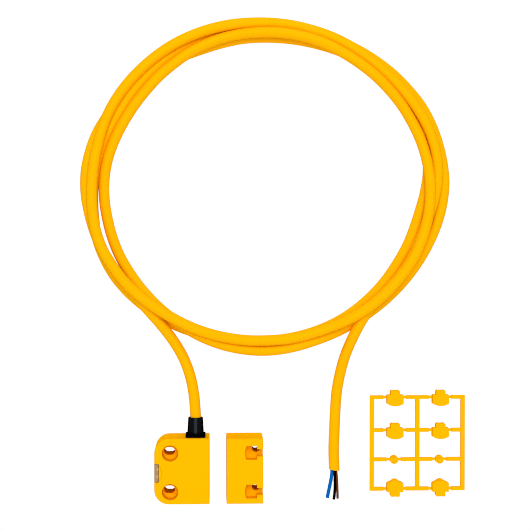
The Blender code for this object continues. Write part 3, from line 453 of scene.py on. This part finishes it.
def add_object(name, data, material=None):
    """A new object in the scene."""
    made = bpy.data.objects.new(name, data)
    bpy.context.scene.collection.objects.link(made)
    if material:
        made.data.materials.append(material)
    return made


def tube_mesh(name, line, radii, material, sides, slope=0.0):
    """A tube along a line with its own radius at each place and closed, flat ends. The last end is
    cut at the slope, so that its left side, seen along the line from above, is the longer one."""
    work = bmesh.new()
    angles = [2 * math.pi * k / sides for k in range(sides)]
    rings = []
    normal = Vector((0, 0, 1))
    for i, (place, radius) in enumerate(zip(line, radii)):
        ahead = line[min(i + 1, len(line) - 1)] - line[max(i - 1, 0)]
        ahead.normalize()
        side = ahead.cross(normal).normalized()
        normal = side.cross(ahead).normalized()
        rings.append([work.verts.new(place + radius * (math.cos(angle) * side
                                                       + math.sin(angle) * normal))
                      for angle in angles])
    for corner in rings[-1]:
        corner.co -= slope * (corner.co - line[-1]).dot(side) * ahead
    for first, second in zip(rings, rings[1:]):
        for k in range(sides):
            m = (k + 1) % sides
            work.faces.new((first[k], first[m], second[m], second[k]))
    work.faces.new(rings[0][::-1])
    work.faces.new(rings[-1])
    bmesh.ops.recalc_face_normals(work, faces=work.faces[:])
    mesh = bpy.data.meshes.new(name)
    work.to_mesh(mesh)
    work.free()
    mesh.shade_smooth()
    mesh.set_sharp_from_angle(angle=SHARP_ABOVE)
    return add_object(name, mesh, material)


# ---------------------------------------------------------------- pieces

class SWITCH_OT_cable(Operator):
    """Lays the cable: out of the boot, round its loose coil and down to the cut end"""
    bl_idname = "switch.cable"
    bl_label = "Cable"

    def execute(self, context):
        plan = context.scene.switch_cable
        jacket = surface("Cable jacket", plan.colour, roughness=plan.gloss, grain=0.5,
                         clouds=0.05, depth=0.006, dust=0.0, specular=0.15,
                         tint=YELLOW_GLOSS_TINT, quiet_edge=True)
        line = smooth_line(CABLE_ROUTE, CABLE_STEPS)
        radii = [plan.across / 2] * len(line)
        cable = tube_mesh("cable", line, radii, jacket, CABLE_SIDES, slope=CUT_SLOPE)
        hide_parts("cable_lead", "cable_coil", "cable_tail")
        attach(cable, "root")
        cores = [stripped_core(colour) for colour in CORE_ROUTES]
        return {"FINISHED"}


def stripped_core(colour):
    """One insulated core that stands out of the cable's cut end."""
    across, route = CORE_ROUTES[colour]
    skin = surface(f"Core {colour}", CORE_PAINTS[colour], roughness=0.38, grain=0.3, clouds=0.12,
                   depth=0.004, dust=0.0, specular=0.01, quiet_edge=True)
    line = smooth_line(route, CORE_STEPS)
    radii = [across / 2 * MM * (1 + CORE_RIPPLE * math.sin(CORE_RIPPLE_TURN * i))
             for i in range(len(line))]
    radii[-1] *= CORE_TIP
    core = tube_mesh(f"stripped_core_{colour}", line, radii, skin, CORE_SIDES)
    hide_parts(f"core_{colour}")
    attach(core, "root")
    return core


class SWITCH_OT_boot(Operator):
    """Finishes the black strain relief: a matt flange and a tapered sleeve with a soft shine"""
    bl_idname = "switch.boot"
    bl_label = "Strain relief"

    def execute(self, context):
        plan = context.scene.switch_moulding
        rubber = surface("Black rubber", plan.rubber, roughness=0.3, grain=0.8, clouds=0.1,
                         depth=0.006, dust=0.0, specular=0.05, tint=BOOT_GLOSS_TINT,
                         quiet_edge=True)
        matt_flange(rubber)
        soften(wear("cable_boot", rubber), BOOT_EDGE)
        return {"FINISHED"}


class SWITCH_OT_sensor(Operator):
    """Finishes the sensor's yellow housing and the cover in its back"""
    bl_idname = "switch.sensor"
    bl_label = "Sensor housing"

    def execute(self, context):
        plan = context.scene.switch_moulding
        soften(wear("sensor_housing", moulded_yellow(plan)), plan.edge)
        wear("sensor_rear_cover", cover_yellow("Cover yellow", plan))
        return {"FINISHED"}


class SWITCH_OT_window(Operator):
    """Finishes the cloudy indicator window, with the lamps' glow painted into its colour, and the
    two lamps behind it
    """
    bl_idname = "switch.window"
    bl_label = "Indicator window"

    def execute(self, context):
        plan = context.scene.switch_moulding
        cloudy = surface("Cloudy window", plan.window, roughness=0.35, grain=0.4, clouds=0.25,
                         depth=0.006, dust=0.1, dust_scale=700.0, specular=0.3)
        wear("indicator_window", cloudy)
        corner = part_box("indicator_window")[1]
        lamps = [sum(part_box(f"indicator_led_{number}"), Vector()) / 2 for number in (1, 2)]
        # painted light: the lamps' glow as bright spots in the window's colour, just in from its
        # right edge
        painted_lamp_glow(cloudy, [(corner.x - LAMP_GLOW_INSET, lamp.y - LAMP_GLOW_DROP, corner.z)
                              for lamp in lamps])
        resin = surface("Lamp resin", (0.9, 0.72, 0.35), roughness=0.25, grain=0.2, depth=0.005)
        for number in (1, 2):
            wear(f"indicator_led_{number}", resin)
        return {"FINISHED"}


class SWITCH_OT_board(Operator):
    """Finishes the circuit board, the parts on it and the cores that run to it"""
    bl_idname = "switch.board"
    bl_label = "Circuit board"

    def execute(self, context):
        laminate = surface("Board laminate", (0.03, 0.2, 0.08), roughness=0.4, grain=0.4,
                           clouds=0.2)
        glass = surface("Reed glass", (0.5, 0.62, 0.6), roughness=0.12, grain=0.1, clouds=0.1,
                        depth=0.004)
        chip = surface("Resistor body", (0.03, 0.03, 0.03), roughness=0.4, grain=0.4)
        wear("circuit_board", laminate)
        for number in (1, 2):
            wear(f"reed_switch_{number}", glass)
            wear(f"chip_resistor_{number}", chip)
        for colour, paint in INNER_CORE_PAINTS.items():
            skin = surface(f"Inner core {colour}", paint, roughness=0.4, grain=0.3, depth=0.01)
            wear(f"inner_core_{colour}", skin)
        return {"FINISHED"}


class SWITCH_OT_actuator(Operator):
    """Finishes the actuator's housing, its cover, and the magnets in their rack"""
    bl_idname = "switch.actuator"
    bl_label = "Actuator"

    def execute(self, context):
        plan = context.scene.switch_moulding
        soften(wear("actuator_housing", moulded_yellow(plan)), plan.edge)
        wear("actuator_rear_cover", cover_yellow("Actuator cover yellow", plan))
        wear("magnet_carrier", surface("Rack white", (0.72, 0.72, 0.69), roughness=0.5))
        nickel = surface("Magnet nickel", (0.62, 0.6, 0.57), roughness=0.28, grain=0.2,
                         metallic=1.0, depth=0.004)
        for number in (1, 2, 3):
            wear(f"magnet_{number}", nickel)
        return {"FINISHED"}


class SWITCH_OT_sprue(Operator):
    """Finishes the caps on their sprue"""
    bl_idname = "switch.sprue"
    bl_label = "Caps on their sprue"

    def execute(self, context):
        plan = context.scene.switch_moulding
        soften(wear("cap_sprue", moulded_yellow(plan)), plan.edge)
        return {"FINISHED"}


# ---------------------------------------------------------------- stage

def bench_camera(lens):
    """A camera over the bench that looks down at the object, with the cable's coil at the top."""
    eye = bpy.data.cameras.new("bench_camera")
    eye.lens = lens
    eye.sensor_width = CAMERA_FILM
    camera = add_object("bench_camera", eye)
    camera.location = Vector(CAMERA_PLACE) * MM
    ahead = (Vector(CAMERA_AIM) * MM - camera.location).normalized()
    right = ahead.cross(Vector(UPRIGHT)).normalized()
    turn = Matrix((right, right.cross(ahead), -ahead)).transposed()
    camera.rotation_euler = turn.to_euler()
    return camera


def white_floor(colour):
    """A white that lights the object as paint does, and shows to the camera as plain white."""
    white = bpy.data.materials.new("White floor")
    white.use_nodes = True
    tree = white.node_tree
    shader = tree.nodes["Principled BSDF"]
    feed(tree, shader, {"Base Color": (*colour, 1.0), "Roughness": FLOOR_ROUGHNESS,
                        "Specular IOR Level": FLOOR_GLOSS})
    seen = put(tree, "ShaderNodeLightPath").outputs["Is Camera Ray"]
    plain = put(tree, "ShaderNodeEmission").outputs[0]
    mix = put(tree, "ShaderNodeMixShader", {0: seen, 1: shader.outputs[0], 2: plain})
    feed(tree, tree.nodes["Material Output"], {"Surface": mix.outputs[0]})
    return white


def lay_floor(colour):
    """A round white floor under the object."""
    floor_mesh = bpy.data.meshes.new("floor")
    work = bmesh.new()
    bmesh.ops.create_circle(work, cap_ends=True, segments=FLOOR_SIDES, radius=FLOOR_RADIUS)
    bmesh.ops.translate(work, verts=work.verts[:], vec=FLOOR_MIDDLE)
    work.to_mesh(floor_mesh)
    work.free()
    white = white_floor(colour)
    add_object("floor", floor_mesh, white)


def softbox(name, place, size, power):
    """A round, soft light that faces the middle of the object."""
    lamp = bpy.data.lights.new(name, "AREA")
    lamp.shape = "DISK"
    lamp.size = size
    lamp.energy = power
    holder = add_object(name, lamp)
    holder.location = place
    facing = Vector(LIT_MIDDLE) - Vector(place)
    holder.rotation_euler = facing.to_track_quat("-Z", "Y").to_euler()


class SWITCH_OT_stage(Operator):
    """Sets the camera over the bench, the white floor and the soft light"""
    bl_idname = "switch.stage"
    bl_label = "Camera, floor and light"

    def execute(self, context):
        plan = context.scene.switch_stage
        scene = context.scene
        scene.view_settings.view_transform = "Standard"
        scene.view_settings.look = "None"
        scene.cycles.diffuse_bounces = DIFFUSE_BOUNCES
        scene.cycles.max_bounces = ALL_BOUNCES
        scene.cycles.filter_width = PIXEL_FILTER
        scene.camera = bench_camera(plan.lens)
        lay_floor(plan.floor)
        for name, (place, size, share) in SOFTBOXES.items():
            softbox(name, place, size, share * plan.key)
        scene.world = bpy.data.worlds.new("studio")
        scene.world.use_nodes = True
        tree = scene.world.node_tree
        feed(tree, tree.nodes["Background"], {"Color": (1.0, 1.0, 1.0, 1.0),
                                              "Strength": plan.sky})
        return {"FINISHED"}


# ---------------------------------------------------------------- add-on

OPERATORS = (SWITCH_OT_stage, SWITCH_OT_cable, SWITCH_OT_boot, SWITCH_OT_sensor,
             SWITCH_OT_window, SWITCH_OT_board, SWITCH_OT_actuator, SWITCH_OT_sprue)
SETTINGS = ((CableSettings, "switch_cable"), (MouldingSettings, "switch_moulding"),
            (StageSettings, "switch_stage"))


class SWITCH_PT_panel(Panel):
    """Lists the pieces and their sizes and colours"""
    bl_idname = "SWITCH_PT_panel"
    bl_label = "Magnetic safety switch"
    bl_space_type = "VIEW_3D"
    bl_region_type = "UI"
    bl_category = "Switch"

    def draw(self, context):
        layout = self.layout
        for group, holder in SETTINGS:
            box = layout.box()
            for field in group.__annotations__:
                box.prop(getattr(context.scene, holder), field)
        column = layout.column(align=True)
        for operator in OPERATORS:
            column.operator(operator.bl_idname)


def register():
    for group, holder in SETTINGS:
        bpy.utils.register_class(group)
        setattr(bpy.types.Scene, holder, PointerProperty(type=group))
    for operator in OPERATORS:
        bpy.utils.register_class(operator)
    bpy.utils.register_class(SWITCH_PT_panel)


def unregister():
    bpy.utils.unregister_class(SWITCH_PT_panel)
    for operator in reversed(OPERATORS):
        bpy.utils.unregister_class(operator)
    for group, holder in reversed(SETTINGS):
        delattr(bpy.types.Scene, holder)
        bpy.utils.unregister_class(group)


def main():
    register()
    for operator in OPERATORS:
        area, name = operator.bl_idname.split(".")
        getattr(getattr(bpy.ops, area), name)()
    bpy.context.view_layer.update()


if __name__ == "__main__":
    main()
